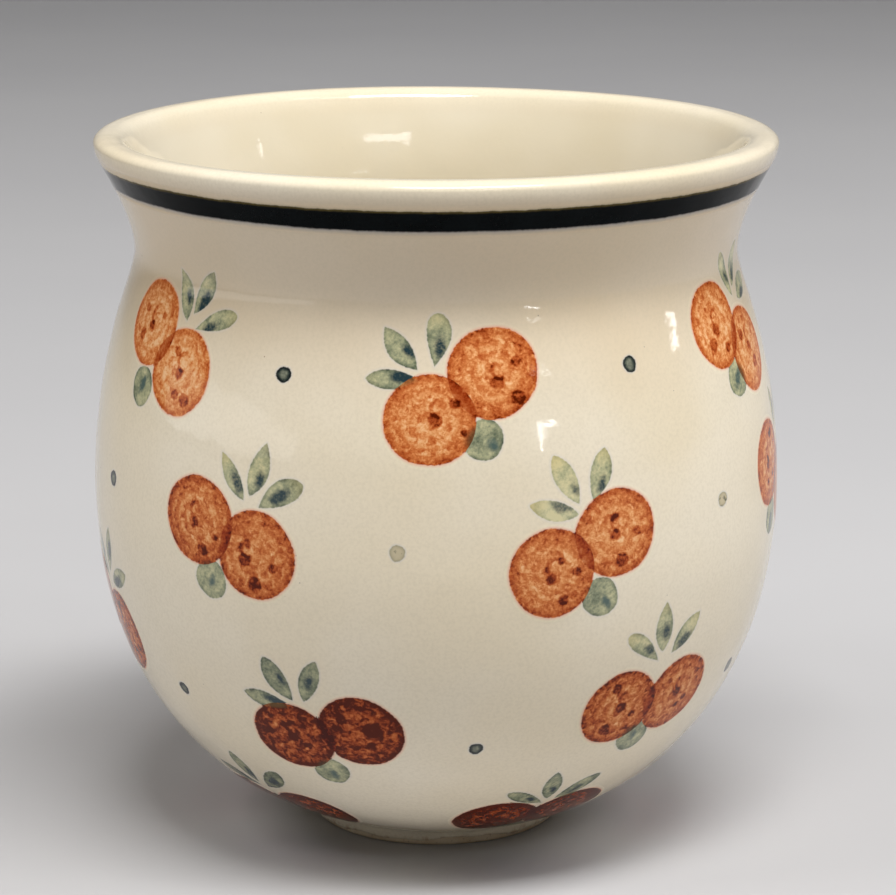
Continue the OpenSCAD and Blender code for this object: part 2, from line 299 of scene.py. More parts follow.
class Graph:
    """Builds one material's nodes. A value is a node's output or a plain number or colour."""

    def __init__(self, name):
        self.material = bpy.data.materials.new(name)
        self.material.use_nodes = True
        self.nodes = self.material.node_tree.nodes
        self.links = self.material.node_tree.links
        self.nodes.clear()
        self.shader = self.nodes.new("ShaderNodeBsdfPrincipled")
        output = self.nodes.new("ShaderNodeOutputMaterial")
        self.links.new(self.shader.outputs[0], output.inputs["Surface"])
        self.mm = self.scaled(self.nodes.new("ShaderNodeTexCoord").outputs["Object"], 1 / MM)

    def put(self, socket, value):
        if isinstance(value, bpy.types.NodeSocket):
            self.links.new(value, socket)
        else:
            socket.default_value = value

    def scaled(self, vector, factor):
        node = self.nodes.new("ShaderNodeVectorMath")
        node.operation = "SCALE"
        self.put(node.inputs[0], vector)
        self.put(node.inputs["Scale"], factor)
        return node.outputs[0]

    def math(self, operation, *values):
        node = self.nodes.new("ShaderNodeMath")
        node.operation = operation
        for socket, value in zip(node.inputs, values):
            self.put(socket, value)
        return node.outputs[0]

    def add(self, *values):
        total = values[0]
        for value in values[1:]:
            total = self.math("ADD", total, value)
        return total

    def times(self, *values):
        total = values[0]
        for value in values[1:]:
            total = self.math("MULTIPLY", total, value)
        return total

    def less(self, first, second):
        return self.math("SUBTRACT", first, second)

    def clamp(self, value):
        node = self.nodes.new("ShaderNodeClamp")
        self.put(node.inputs[0], value)
        return node.outputs[0]

    def smooth(self, value, low, high, start=0.0, end=1.0):
        """Goes smoothly from start to end as the value goes from low to high."""
        node = self.nodes.new("ShaderNodeMapRange")
        node.interpolation_type = "SMOOTHSTEP"
        for socket, setting in zip(node.inputs, (value, low, high, start, end)):
            self.put(socket, setting)
        return node.outputs[0]

    def noise(self, vector, scale, detail=2.0, distortion=0.0, roughness=0.5):
        node = self.nodes.new("ShaderNodeTexNoise")
        for label, setting in (("Vector", vector), ("Scale", scale), ("Detail", detail),
                               ("Distortion", distortion), ("Roughness", roughness)):
            self.put(node.inputs[label], setting)
        return node.outputs["Fac"]

    def cells(self, vector, scale, output="Distance"):
        node = self.nodes.new("ShaderNodeTexVoronoi")
        self.put(node.inputs["Vector"], vector)
        self.put(node.inputs["Scale"], scale)
        return node.outputs[output]

    def mix(self, amount, first, second, blend="MIX"):
        node = self.nodes.new("ShaderNodeMix")
        node.data_type = "RGBA"
        node.blend_type = blend
        for index, setting in ((0, amount), (6, first), (7, second)):
            self.put(node.inputs[index], setting)
        return node.outputs[2]

    def ramp(self, value, stops):
        node = self.nodes.new("ShaderNodeValToRGB")
        elements = node.color_ramp.elements
        while len(elements) < len(stops):
            elements.new(0.5)
        for element, (place, colour) in zip(elements, stops):
            element.position = place
            element.color = colour
        self.put(node.inputs[0], value)
        return node.outputs[0]

    def attribute(self, name, output="Vector"):
        node = self.nodes.new("ShaderNodeAttribute")
        node.attribute_name = name
        return node.outputs[output]

    def split(self, vector):
        node = self.nodes.new("ShaderNodeSeparateXYZ")
        self.put(node.inputs[0], vector)
        return node.outputs[0], node.outputs[1], node.outputs[2]

    def distance(self, first, second):
        node = self.nodes.new("ShaderNodeVectorMath")
        node.operation = "DISTANCE"
        self.put(node.inputs[0], first)
        self.put(node.inputs[1], second)
        return node.outputs["Value"]

    def bump(self, height, depth_mm, under=None):
        node = self.nodes.new("ShaderNodeBump")
        node.inputs["Strength"].default_value = 1.0
        node.inputs["Distance"].default_value = depth_mm * MM
        self.put(node.inputs["Height"], height)
        if under is not None:
            self.put(node.inputs["Normal"], under)
        return node.outputs[0]

    def finish(self, colour, roughness, normal, specular=0.5):
        self.put(self.shader.inputs["Base Color"], colour)
        self.put(self.shader.inputs["Roughness"], roughness)
        self.put(self.shader.inputs["Normal"], normal)
        self.shader.inputs["Specular IOR Level"].default_value = specular
        self.shader.inputs["IOR"].default_value = 1.5
        return self.material


CREAM = srgb(240, 230, 209)
CREAM_WARM = srgb(235, 222, 195)
CREAM_INSIDE_SHADED = srgb(229, 222, 203)
# Painted shade under the lip: its colour, and the heights where it starts and where it ends
NECK_SHADE = srgb(236, 229, 222)
NECK_SHADE_RISE = (62, 80)
NECK_SHADE_END = (91.5, 94.3)
IRON_SPECK = srgb(120, 84, 50)
GREY_SPECK = srgb(120, 112, 104)


def glaze_colour(g):
    """The cream glaze: slow warm clouds, a neck browned by painted shade, a fine grain and a few
    small specks.
    """
    clouds = g.smooth(g.noise(g.mm, 0.035, 2), 0.3, 0.7)
    colour = g.mix(clouds, CREAM, CREAM_WARM)
    height = g.split(g.mm)[2]
    uneven = g.add(height, g.times(g.less(clouds, 0.5), 3.0))
    # Painted shade: the glaze is darker and a little browner from the upper belly over the neck to
    # the outer face of the lip, with a lower edge that wanders with the clouds
    painted_neck_shade = g.times(g.smooth(uneven, *NECK_SHADE_RISE), g.smooth(height, *NECK_SHADE_END, 1.0, 0.0))
    colour = g.mix(painted_neck_shade, colour, NECK_SHADE, "MULTIPLY")
    grain = g.noise(g.mm, 2.4, 3)
    colour = g.mix(g.smooth(grain, 0.35, 0.75, 0.0, 0.2), colour, srgb(200, 188, 162))
    for scale, size, share, tint in ((0.16, 0.022, 0.55, IRON_SPECK), (0.3, 0.03, 0.6, GREY_SPECK)):
        near = g.smooth(g.cells(g.mm, scale), size * 0.5, size, 1.0, 0.0)
        chosen = g.smooth(g.split(g.cells(g.mm, scale, "Color"))[0], share, share + 0.02)
        colour = g.mix(g.times(near, chosen, 0.75), colour, tint)
    return colour


def glaze_surface(g):
    """Roughness and normal of the glossy glaze, the same over the paint and beside it."""
    roughness = g.smooth(g.noise(g.mm, 0.4, 2), 0.3, 0.7, 0.03, 0.07)
    slow = g.bump(g.noise(g.mm, 0.16, 1), 0.10)
    peel = g.bump(g.noise(g.mm, 0.75, 2), 0.012, slow)
    return roughness, g.bump(g.noise(g.mm, 2.6, 2), 0.0035, peel)


def glazed(g, colour, specular=0.42):
    roughness, normal = glaze_surface(g)
    return g.finish(colour, roughness, normal, specular)


def cream_glaze():
    """Cream outside; inside a little yellower, and darker as painted shade in the hollow."""
    g = Graph("cream_glaze")
    colour = glaze_colour(g)
    inside = g.attribute("inside", "Fac")
    # Painted shade: the inside is a darker cream than the outside, in slow clouds of a yellower
    # cream
    shaded_inside = g.mix(g.smooth(g.noise(g.mm, 0.05, 2), 0.3, 0.7), CREAM_INSIDE_SHADED, srgb(222, 213, 189))
    colour = g.mix(g.times(inside, 0.8), colour, shaded_inside)
    brown = g.smooth(g.noise(g.mm, 1.1, 3), 0.45, 0.7, 0.1, 0.8)
    colour = g.mix(g.times(g.attribute("wiped", "Fac"), brown), colour, srgb(186, 148, 108))
    return glazed(g, colour)


def bare_clay():
    """Sandy buff stoneware with darker grains."""
    g = Graph("bare_clay")
    clouds = g.smooth(g.noise(g.mm, 0.3, 3), 0.3, 0.7)
    colour = g.mix(clouds, srgb(232, 214, 184), srgb(214, 190, 154))
    grains = g.smooth(g.cells(g.mm, 1.6), 0.1, 0.22, 1.0, 0.0)
    colour = g.mix(g.times(grains, 0.4), colour, srgb(140, 104, 70))
    colour = g.mix(g.smooth(g.noise(g.mm, 4.0, 4), 0.5, 0.8, 0, 0.5), colour, srgb(236, 222, 196))
    roughness = g.smooth(g.noise(g.mm, 1.2, 2), 0.3, 0.7, 0.7, 0.9)
    normal = g.bump(g.noise(g.mm, 3.2, 4, roughness=0.7), 0.05)
    return g.finish(colour, roughness, normal, specular=0.3)


def tinted_halo(g, colour, edge, tint, reach, strength):
    """Colour that bled a little way into the glaze round a print."""
    near = g.smooth(edge, -reach, 0.05)
    return g.mix(g.times(near, near, strength), colour, tint)


def flat_point(g, x, y):
    """A point in a print's own plane."""
    node = g.nodes.new("ShaderNodeCombineXYZ")
    g.put(node.inputs[0], x)
    g.put(node.inputs[1], y)
    return node.outputs[0]


def berry_density(g, place, ragged, strength):
    """How thickly the rust lies: sponge grains, clumps and rings, and a denser rim."""
    grains = g.less(g.noise(place, 2.6, 3, roughness=0.65), 0.5)
    clumps = g.less(g.noise(place, 0.9, 3, distortion=0.8, roughness=0.6), 0.5)
    clumping = g.add(0.95, g.times(g.math("MINIMUM", strength, 1.2), 0.6))
    rings = g.math("SINE", g.add(g.times(ragged, 4.2), g.times(clumps, 9.0)))
    rim = g.smooth(ragged, 0.15, 2.6, 1.0, 0.0)
    outline = g.smooth(ragged, 0.1, 0.5, 1.0, 0.0)
    return g.add(0.22, g.times(rim, 0.24), g.times(outline, 0.04), g.times(strength, 0.33),
                 g.times(grains, 0.95), g.times(clumps, clumping), g.times(rings, 0.08))


def with_spots(g, place, density):
    """Adds a berry's dark spots, and the curl of paint that opens to one side of its middle."""
    x, y = g.split(place)[:2]
    here = flat_point(g, x, y)
    spot_edge = g.times(g.less(g.noise(place, 1.2, 2), 0.5), 0.7)
    for index in range(SPOTS):
        spot_x, spot_y, size = g.split(g.attribute(f"spot_{index}"))
        gap = g.add(g.distance(here, flat_point(g, spot_x, spot_y)), spot_edge)
        inside = g.smooth(g.less(gap, size), -0.1, 0.32, 1.0, 0.0)
        density = g.add(density, g.times(inside, g.smooth(size, 0.0, 0.1), 0.46))
    curl_x, curl_y, facing = g.split(g.attribute("curl"))
    off_centre = g.distance(here, flat_point(g, curl_x, curl_y))
    off_ring = g.math("ABSOLUTE", g.less(off_centre, CURL_R))
    on_ring = g.smooth(g.add(off_ring, g.times(spot_edge, 0.4)), 0.1, 0.4, 1.0, 0.0)
    side = g.add(g.times(g.less(x, curl_x), g.math("COSINE", facing)),
                 g.times(g.less(y, curl_y), g.math("SINE", facing)))
    return g.add(density, g.times(on_ring, g.smooth(side, -0.1, 0.4), 0.34))


def berry_paint():
    """Sponge-printed rust: pale and swirled in the middle, dense at the rim, with dark spots."""
    g = Graph("berry_rust")
    place = g.attribute("place")
    edge = g.attribute("edge", "Fac")
    over_berry, over_bud, over_leaf = g.split(g.attribute("over"))
    over_any = g.math("MAXIMUM", over_berry, g.math("MAXIMUM", over_bud, over_leaf))
    ragged = g.add(edge, g.times(g.less(g.noise(place, 2.4, 3), 0.5), 0.35))
    cover = g.math("MAXIMUM", g.smooth(ragged, -0.04, 0.12), g.smooth(over_any, -0.06, 0.0))
    density = berry_density(g, place, ragged, g.attribute("strength", "Fac"))
    paint = g.ramp(g.clamp(with_spots(g, place, density)), [
        (0.0, srgb(242, 194, 146)), (0.2, srgb(230, 162, 104)), (0.42, srgb(208, 122, 66)),
        (0.66, srgb(180, 86, 40)), (0.84, srgb(138, 54, 22)), (1.0, srgb(86, 26, 6))])
    twice = g.mix(1.0, paint, srgb(216, 178, 160), "MULTIPLY")
    paint = g.mix(g.smooth(over_berry, -0.05, 0.15), paint, twice)
    paint = g.mix(g.times(g.smooth(over_bud, -0.05, 1.1), 0.8), paint, srgb(74, 64, 42))
    paint = g.mix(g.times(g.smooth(over_leaf, -0.05, 0.5), 0.45), paint, srgb(124, 108, 66))
    ground = tinted_halo(g, glaze_colour(g), edge, srgb(232, 166, 136), 0.5, 0.6)
    return glazed(g, g.mix(cover, ground, paint), specular=0.14)


def leaf_paint(name, middle_tint):
    """Grey-green sponge print, paler inside, with a darker outline and one teal brush blotch."""
    g = Graph(name)
    place = g.attribute("place")
    x, y = g.split(place)[:2]
    edge = g.attribute("edge", "Fac")
    strength = g.attribute("strength", "Fac")
    ragged = g.add(edge, g.times(g.less(g.noise(place, 2.6, 2), 0.5), 0.22))
    cover = g.smooth(ragged, -0.04, 0.12)
    grains = g.less(g.noise(place, 2.6, 3, roughness=0.65), 0.5)
    patches = g.less(g.noise(place, 0.6, 2), 0.5)
    density = g.add(0.1, g.times(strength, 0.42), g.times(grains, 0.9), g.times(patches, 1.2))
    density = g.add(density, g.smooth(ragged, 0.05, 0.6, 0.2, 0.0))
    paint = g.ramp(g.clamp(density), [
        (0.0, srgb(214, 206, 162)), (0.25, srgb(186, 184, 146)), (0.5, srgb(148, 152, 122)),
        (0.75, srgb(106, 114, 92)), (1.0, srgb(60, 74, 64))])
    tip = g.smooth(g.attribute("tip", "Fac"), 0.6, 1.0, 0.0, 0.5)
    paint = g.mix(g.times(tip, g.less(1.0, strength)), paint, srgb(216, 196, 132))
    blotch_x, blotch_y, size = g.split(g.attribute("blotch"))
    across, up = g.times(g.less(x, blotch_x), 1.5), g.times(g.less(y, blotch_y), 0.75)
    gap = g.distance(flat_point(g, across, up), flat_point(g, 0.0, 0.0))
    gap = g.add(gap, g.times(g.less(g.noise(place, 0.8, 2), 0.5), 1.5))
    dark = g.smooth(g.less(gap, size), -0.6, 0.5, 1.0, 0.0)
    dark = g.clamp(g.times(dark, g.add(0.75, g.times(strength, 0.35), g.times(grains, 0.9))))
    paint = g.mix(dark, paint, middle_tint)
    ground = tinted_halo(g, glaze_colour(g), edge, srgb(206, 204, 206), 0.58, 0.3)
    return glazed(g, g.mix(cover, ground, paint))


def dot_paint():
    """Small dots with a dark outline and a paler middle."""
    g = Graph("dot_green")
    place = g.attribute("place")
    edge = g.attribute("edge", "Fac")
    ragged = g.add(edge, g.times(g.less(g.noise(place, 2.4, 2), 0.5), 0.25))
    cover = g.smooth(ragged, -0.04, 0.12)
    density = g.add(g.smooth(ragged, 0.1, 0.75, 0.95, 0.35),
                    g.times(g.less(g.noise(place, 2.2, 3), 0.5), 0.8),
                    g.times(g.attribute("strength", "Fac"), 0.3))
    paint = g.ramp(g.clamp(density), [
        (0.0, srgb(182, 180, 156)), (0.4, srgb(120, 124, 108)), (0.75, srgb(62, 70, 64)),
        (1.0, srgb(32, 38, 38))])
    core = g.smooth(g.noise(place, 1.3, 2), 0.6, 0.7)
    pale = g.mix(core, srgb(202, 188, 154), srgb(110, 106, 84))
    pale = g.mix(g.smooth(ragged, 0.05, 0.4, 0.5, 0.0), pale, srgb(146, 144, 122))
    paint = g.mix(g.smooth(g.attribute("strength", "Fac"), -1.0, 0.0, 0.85, 0.0), paint, pale)
    ground = tinted_halo(g, glaze_colour(g), edge, srgb(196, 198, 204), 0.4, 0.4)
    return glazed(g, g.mix(cover, ground, paint))


def band_paint():
    """The near-black band, brushed on a wheel, with an olive fringe above and a blue one below."""
    g = Graph("band_green")
    over_low, under_high = g.split(g.attribute("place"))[:2]
    wave = g.times(g.less(g.noise(g.mm, 0.11, 3), 0.5), 0.5)
    fine = g.times(g.less(g.noise(g.mm, 1.6, 2), 0.5), 0.16)
    low = g.add(over_low, wave, fine)
    high = g.add(under_high, g.times(g.less(g.noise(g.mm, 0.5, 2), 0.5), 0.3), fine)
    cover = g.times(g.smooth(low, -0.16, 0.2), g.smooth(high, -0.05, 0.12))
    depth = g.add(g.times(g.noise(g.mm, 0.25, 3), 0.7), g.times(g.noise(g.mm, 2.0, 2), 0.3))
    paint = g.mix(g.smooth(depth, 0.35, 0.7), srgb(1, 4, 5), srgb(7, 13, 15))
    paint = g.mix(g.smooth(high, 0.08, 0.5, 0.9, 0.0), paint, srgb(92, 80, 44))
    bled = g.times(g.smooth(low, -0.75, 0.1, 0.0, 0.6), g.smooth(high, -0.1, 0.1))
    ground = g.mix(bled, glaze_colour(g), srgb(146, 150, 160))
    above = g.times(g.smooth(high, -0.4, 0.05, 0.0, 0.35), g.smooth(low, 1.0, 2.0))
    ground = g.mix(above, ground, srgb(170, 150, 96))
    roughness, normal = glaze_surface(g)
    return g.finish(g.mix(cover, ground, paint), roughness, normal, specular=0.04)


# ---- Cup, foot, base and handle -----------------------------------------------------------

SUNK_EDGE = -0.02
UNDERSIDE = -0.08
BAND_FRINGE = 0.9
BAND_LIFT = 0.03
BAND_STEPS = 18
SEGMENTS = 256
AROUND = np.arange(SEGMENTS) * 2 * math.pi / SEGMENTS


def make_cup(glaze):
    """The glazed cup in one closed skin, with a wavy lower edge where the foot was wiped."""
    inner = inner_wall()
    skin = np.concatenate([OUTER, inner[:-1]])
    out = normals(skin)
    run = along(skin)
    fade = np.clip(skin[:, 0] / 12, 0, 1) * np.clip(run / 4, 0, 1)
    edge_wave = (0.22 * np.sin(3 * AROUND + 1) + 0.16 * np.sin(7 * AROUND)
                 + 0.1 * np.sin(17 * AROUND))
    bead = [turned(RING_OUTSIDE - 0.1, FOOT_H, AROUND),
            turned(RING_OUTSIDE - 0.1, GLAZE_END_Z + 0.25 + edge_wave, AROUND),
            turned(RING_OUTSIDE + 0.12, GLAZE_END_Z + 0.1 + edge_wave, AROUND),
            turned(FOOT_R - 0.05, GLAZE_END_Z + 0.2 + edge_wave, AROUND),
            turned(FOOT_R + 0.02, GLAZE_END_Z + 0.45 + 0.6 * edge_wave, AROUND)]
    rings = list(bead)
    for i in range(len(skin)):
        off = fade[i] * wobble(AROUND, run[i])
        rings.append(turned(skin[i, 0] + off * out[i, 0], skin[i, 1] + off * out[i, 1], AROUND))
    part = loft(rings, (0, 0, FOOT_H), (0, 0, FLOOR_Z))
    lip_run = OUTER_RUN[-1]
    inside = np.clip((np.concatenate([np.zeros(len(bead)), run]) - lip_run) / 6, 0, 1)
    wiped = np.concatenate([np.ones(4), [0.6, 0.25], np.zeros(len(run) - 1)])
    attributes = {"inside": np.append(np.repeat(inside, SEGMENTS), [0, 1]),
                  "wiped": np.append(np.repeat(wiped, SEGMENTS), [0, 0])}
    add_piece("glazed_cup", [part], glaze, ["body_glaze", "cup_body"], attributes)


def make_foot():
    """The bare foot ring, its edges rounded by the sponge, a little uneven round its sides."""
    rounding = (FOOT_EDGE, FOOT_EDGE)
    path = np.concatenate([
        [(RING_INSIDE, FOOT_H), (RING_INSIDE, FOOT_H / 2), (RING_INSIDE, FOOT_EDGE)],
        arc((RING_INSIDE + FOOT_EDGE, FOOT_EDGE), rounding, 180, 270, 6),
        [(RING_INSIDE + 1.2, 0), (RING_OUTSIDE - 1.2, 0), (RING_OUTSIDE - FOOT_EDGE, 0)],
        arc((RING_OUTSIDE - FOOT_EDGE, FOOT_EDGE), rounding, 270, 360, 6),
        [(RING_OUTSIDE, FOOT_H / 2), (RING_OUTSIDE, FOOT_H)]])
    worn = 0.05 * np.sin(4 * AROUND + 2) + 0.03 * np.sin(11 * AROUND)
    rings = [turned(r + worn * (0.1 < z < FOOT_H - 0.1), z, AROUND) for r, z in path]
    verts, faces = loft(rings + [rings[0]])
    add_piece("bare_foot_ring", [(verts, faces)], bare_clay(), ["foot_ring"])


def make_base(glaze):
    """The glazed recess inside the foot ring: almost flat, and curling up where it meets it."""
    path = [(RING_INSIDE, FOOT_H), (RING_INSIDE, FOOT_H - GLAZE_T - 0.25),
            (RING_INSIDE - 0.25, FOOT_H - GLAZE_T - 0.08), (RING_INSIDE - 0.8, FOOT_H - GLAZE_T)]
    path += [(RING_INSIDE * (1 - k / 8), FOOT_H - GLAZE_T + 0.03 * math.sin(k * 1.7))
             for k in range(1, 8)]
    rings = [turned(r, z, AROUND) for r, z in path]
    part = loft(rings, (0, 0, FOOT_H), (0, 0, FOOT_H - GLAZE_T))
    attributes = {"inside": np.zeros(len(part[0])), "wiped": np.zeros(len(part[0]))}
    add_piece("glazed_base", [part], glaze, ["base_glaze"], attributes)


def wall_gap(points):
    """How far each point is outside the wall, measured square to it."""
    reach = np.hypot(points[:, 0], points[:, 1])
    near = np.argmin((reach[:, None] - FINE[None, ::4, 0])**2
                     + (points[:, 2:3] - FINE[None, ::4, 1])**2, axis=1) * 4
    return ((reach - FINE[near, 0]) * FINE_NORMAL[near, 0]
            + (points[:, 2] - FINE[near, 1]) * FINE_NORMAL[near, 1])


def make_handle(glaze):
    """The pulled strap: rounded edges, a shallow groove outside, and a fillet at each end."""
    around = np.arange(STRAP_SIDES) * 2 * math.pi / STRAP_SIDES
    half_w, half_t = STRAP_W / 2 + GLAZE_T, STRAP_T / 2 + GLAZE_T
    power = 2 / STRAP_SQUARENESS
    across = half_w * np.sign(np.cos(around)) * np.abs(np.cos(around))**power
    thick = half_t * np.sign(np.sin(around)) * np.abs(np.sin(around))**power
    groove = GROOVE_T * np.exp(-(across / GROOVE_W)**2) * (thick > 0)
    angles = np.concatenate([np.linspace(UPPER_TURN, 0, 80), np.linspace(0, LOWER_TURN, 70)[1:]])
    rings = []
    for angle in angles:
        bend = UPPER_BEND if angle >= 0 else LOWER_BEND
        out = towards(angle)
        centre = np.array([HANDLE_REACH - bend, HANDLE_Z]) + bend * out
        ease = 1 - 0.05 * math.cos(math.radians(angle * 1.5))
        ring = np.stack([across * ease,
                         centre[0] + (thick - groove) * out[0],
                         centre[1] + (thick - groove) * out[1]], 1)
        gap = wall_gap(ring)
        middle = np.array([0, centre[0], centre[1]])
        away = ring - middle
        away /= np.linalg.norm(away, axis=1)[:, None]
        fillet = FILLET_T * np.clip(1 - np.clip(gap, 0, None) / FILLET_REACH, 0, 1)**FILLET_CURVE
        fillet *= np.clip((gap + FILLET_END) / FILLET_FADE, 0, 1)
        rings.append(ring + away * fillet[:, None])
    part = loft(rings, rings[0].mean(0), rings[-1].mean(0))
    attributes = {"inside": np.zeros(len(part[0])), "wiped": np.zeros(len(part[0]))}
    add_piece("glazed_handle", [part], glaze,
              ["handle", "handle_glaze", "upper_slip_joint", "lower_slip_joint"], attributes)


def make_band():
    """The band's film round the flare, with room for its fringes."""
    low, high = run_at(BAND_Z), run_at(BAND_Z + BAND_H)
    runs = np.linspace(low - BAND_FRINGE, high + BAND_FRINGE, BAND_STEPS)
    lifts = np.where((runs > runs[0]) & (runs < runs[-1]), BAND_LIFT, SUNK_EDGE)
    path = [(run, lift, 1) for run, lift in zip(runs, lifts)]
    path += [(run, UNDERSIDE, -1) for run in runs[::-1]]
    path.append(path[0])
    rings, directions = [], []
    for run, lift, facing in path:
        here = int(np.searchsorted(FINE_RUN, run))
        off = lift + wobble(AROUND, run)
        rings.append(turned(FINE[here, 0] + off * FINE_NORMAL[here, 0],
                            FINE[here, 1] + off * FINE_NORMAL[here, 1], AROUND))
        directions.append(facing * turned(FINE_NORMAL[here, 0] + 0 * AROUND,
                                          FINE_NORMAL[here, 1], AROUND))
    place = [(run - low, high - run, 0) for run, _, _ in path]
    add_piece("rim_band_paint", [loft(rings)], band_paint(), ["rim_band"],
              {"place": np.repeat(place, SEGMENTS, axis=0)}, np.concatenate(directions))


# ---- Painted sprays -----------------------------------------------------------------------

BERRY_R = 5.75
BUD_R = 2.6
LEAF_L = 7.4
LEAF_W = 3.1
DOT_R = 1.05
DOT_LIFT = 0.02
HALO = 0.62
SPOTS = 4
CURL_R = 1.05
BUD_STRENGTH = 0.75

# A spray's shift is how far its leaves moved across and up, and how far they turned. Its strengths
# are how darkly its berries and its leaves printed, darker towards the bottom rows; on top of that
# the low spray at azimuth 315 is darker as painted shade under the belly, and the berries of the
# spray at azimuth 306 are paler as a painted sheen.
Spray = namedtuple("Spray", "azimuth height tilt shift berry_strength leaf_strength")
SPRAYS = [Spray(*row) for row in [
    (4, 68.2, 36, (-1.8, -0.8, 0), 0.35, 0.75),
    (64, 70.7, -28, (1.4, 0.6, 0), 0.1, 0.4),
    (124, 69, 30, (0.4, 0.2, 4), 0.45, 0.3),
    (245, 69.5, 26, (-0.5, 0, -5), 0.4, 0.6),
    (306, 70.7, -32, (2, 0, 4), -0.05, 0.5),
    (23.5, 48, 26, (2.6, -0.3, 0), 0.42, 0.1),
    (78, 50.5, -27, (0.3, 0.4, -3), 0.4, 0.4),
    (140, 48.5, 24, (0.8, 0, 5), 0.5, 0.7),
    (203, 49, -22, (-0.6, 0.3, 0), 0.45, 0.3),
    (264, 48, 30, (0.5, 0, -4), 0.6, 0.6),
    (325, 48.8, -20, (1.8, 0.5, 0), 0.5, 0.5),
    (40, 25.6, 1, (0.6, 1.2, 0), 0.8, 0.5),
    (98, 24.5, -14, (0, 0.3, 3), 0.8, 0.8),
    (152.5, 25.5, 13, (0.4, 0, -4), 0.7, 0.5),
    (222, 26, -24, (-0.4, 0.2, 0), 0.9, 0.6),
    (284.5, 32, -25, (0.4, 0, 2), 1.0, 0.7),
    (340, 22.9, 12, (-1.1, -0.3, 12), 1.75, 1.0),
    (25, 8, 2, (1, -1.2, 0), 2.1, 1.1),
    (84, 8.5, -8, (0.4, 0, 3), 1.0, 0.8),
    (144, 8, 6, (0, 0.2, 0), 1.3, 0.6),
    (205, 8.5, -10, (0.3, 0, -3), 0.9, 0.9),
    (262, 8, 8, (-0.3, 0, 0), 1.2, 0.7),
    (315, 7.2, 0, (0, 0, 2), 2.1, 1.1)]]
LEFT_BERRY = (-4.9, 0)
RIGHT_BERRY = (4.9, 0)
BUD = (-0.5, -6)
LEAVES = {"left": ((-3.7, 7.4), 52), "middle": ((-0.6, 9.9), 4), "right": ((3.6, 8.2), -44)}
LIFTS = {"left": 0.018, "middle": 0.021, "right": 0.024, "bud": 0.02, "right_berry": 0.032,
         "left_berry": 0.044}
DOTS = [
    (34, 70.6), (94, 70.3), (154, 70), (214, 70.4), (273, 70.5), (334, 70),
    (52.5, 51.3), (110, 50.5), (171, 50), (234, 50.5), (293.5, 51.7), (354, 49),
    (7, 21.8), (66, 25.7), (126, 24), (254, 24.5), (309, 25.5)]
PALE_DOTS = {(354, 49), (52.5, 51.3)}

# Buds of the sprays in front, by azimuth: across and up
BUDS_SEEN = {306: (-0.1, -6.9), 4: (-1.0, -5.9), 64: (0.9, -5.4), 325: (-0.4, -6.3),
             23.5: (-0.6, -6.3), 340: (-2.1, -6.6), 40: (-0.7, -5.8)}

# Dark spots of the berries nearest the front, by azimuth and side: across, up and size
SPOTS_SEEN = {
    (4, "left"): [(0.7, 0, 0.75), (3.1, 2.1, 0.6), (4.2, -1.5, 0.35)],
    (4, "right"): [(0.4, -1.2, 0.7), (3.0, 1.4, 0.55), (3.0, -3.1, 0.8)],
    (325, "left"): [(-0.7, -0.4, 0.65), (0.8, -3.8, 0.75), (3.0, -1.9, 0.4)],
    (325, "right"): [(-1.6, -0.7, 0.75), (-1.1, 1.4, 0.45), (2.5, -1.3, 0.5), (-0.2, -3.8, 0.9)],
    (23.5, "left"): [(-0.2, -0.7, 0.65), (3.2, 0, 0.5), (1.5, -3.6, 0.6), (1.1, 1.6, 0.35)],
    (23.5, "right"): [(-0.1, -0.2, 0.6), (-0.3, 2.1, 0.45), (3.0, 0, 0.5), (0.8, -3.6, 0.8)],
    (340, "left"): [(0, 0, 0.6), (-3.3, 0.5, 0.5), (1.8, -1.2, 0.45), (-1, 2.2, 0.4)],
    (340, "right"): [(-2.3, 2, 0.6), (-3, 0.4, 0.55), (1.6, 0.6, 1.1), (1.1, -2.3, 0.6)]}


def rotated(points, degrees):
    """Flat points turned anticlockwise about their origin."""
    x, y = np.asarray(points, float).T
    turn = math.radians(degrees)
    return np.stack([x * math.cos(turn) - y * math.sin(turn),
                     x * math.sin(turn) + y * math.cos(turn)], -1)


def round_outline(radius, draw, count=48, unevenness=1.0):
    """A nearly round outline, a little flattened here and there."""
    angle = np.arange(count) * 2 * math.pi / count
    ripple = sum(size * np.sin(k * angle + draw.uniform(0, 6.3))
                 for k, size in ((2, 0.014), (3, 0.011), (5, 0.006), (8, 0.004)))
    reach = radius * (1 + unevenness * ripple)
    return np.stack([reach * np.cos(angle), reach * np.sin(angle)], 1)


def leaf_outline(length, width, draw, count=40):
    """A leaf along +Y: a wedge at its stem, and anything from blunt to pointed at its tip."""
    angle = np.arange(count) * 2 * math.pi / count
    t = (1 - np.cos(angle)) / 2
    stem, tip = draw.uniform(0.8, 1.1), draw.uniform(0.5, 1.05)
    widest = stem / (stem + tip)
    half = width / 2 * (t / widest)**stem * ((1 - t) / (1 - widest))**tip
    bow = draw.uniform(-0.3, 0.3) * np.sin(math.pi * t)
    return np.stack([np.sign(np.sin(angle)) * half + bow, (t - 0.5) * length], 1)


def signed_gap(points, outline):
    """How far inside a closed outline each point is, and below zero outside it."""
    start, end = outline, np.roll(outline, -1, axis=0)
    side = end - start
    offset = points[:, None, :] - start[None]
    share = np.clip((offset * side).sum(2) / (side**2).sum(1), 0, 1)
    gap = np.linalg.norm(offset - share[..., None] * side, axis=2).min(1)
    above = start[None, :, 1] > points[:, None, 1]
    crosses = above != (end[None, :, 1] > points[:, None, 1])
    rise = np.where(np.abs(side[:, 1]) < 1e-9, 1e-9, side[:, 1])
    meets = start[:, 0] + (points[:, None, 1] - start[:, 1]) * side[:, 0] / rise
    within = (crosses & (points[:, None, 0] < meets)).sum(1) % 2 == 1
    return np.where(within, gap, -gap)


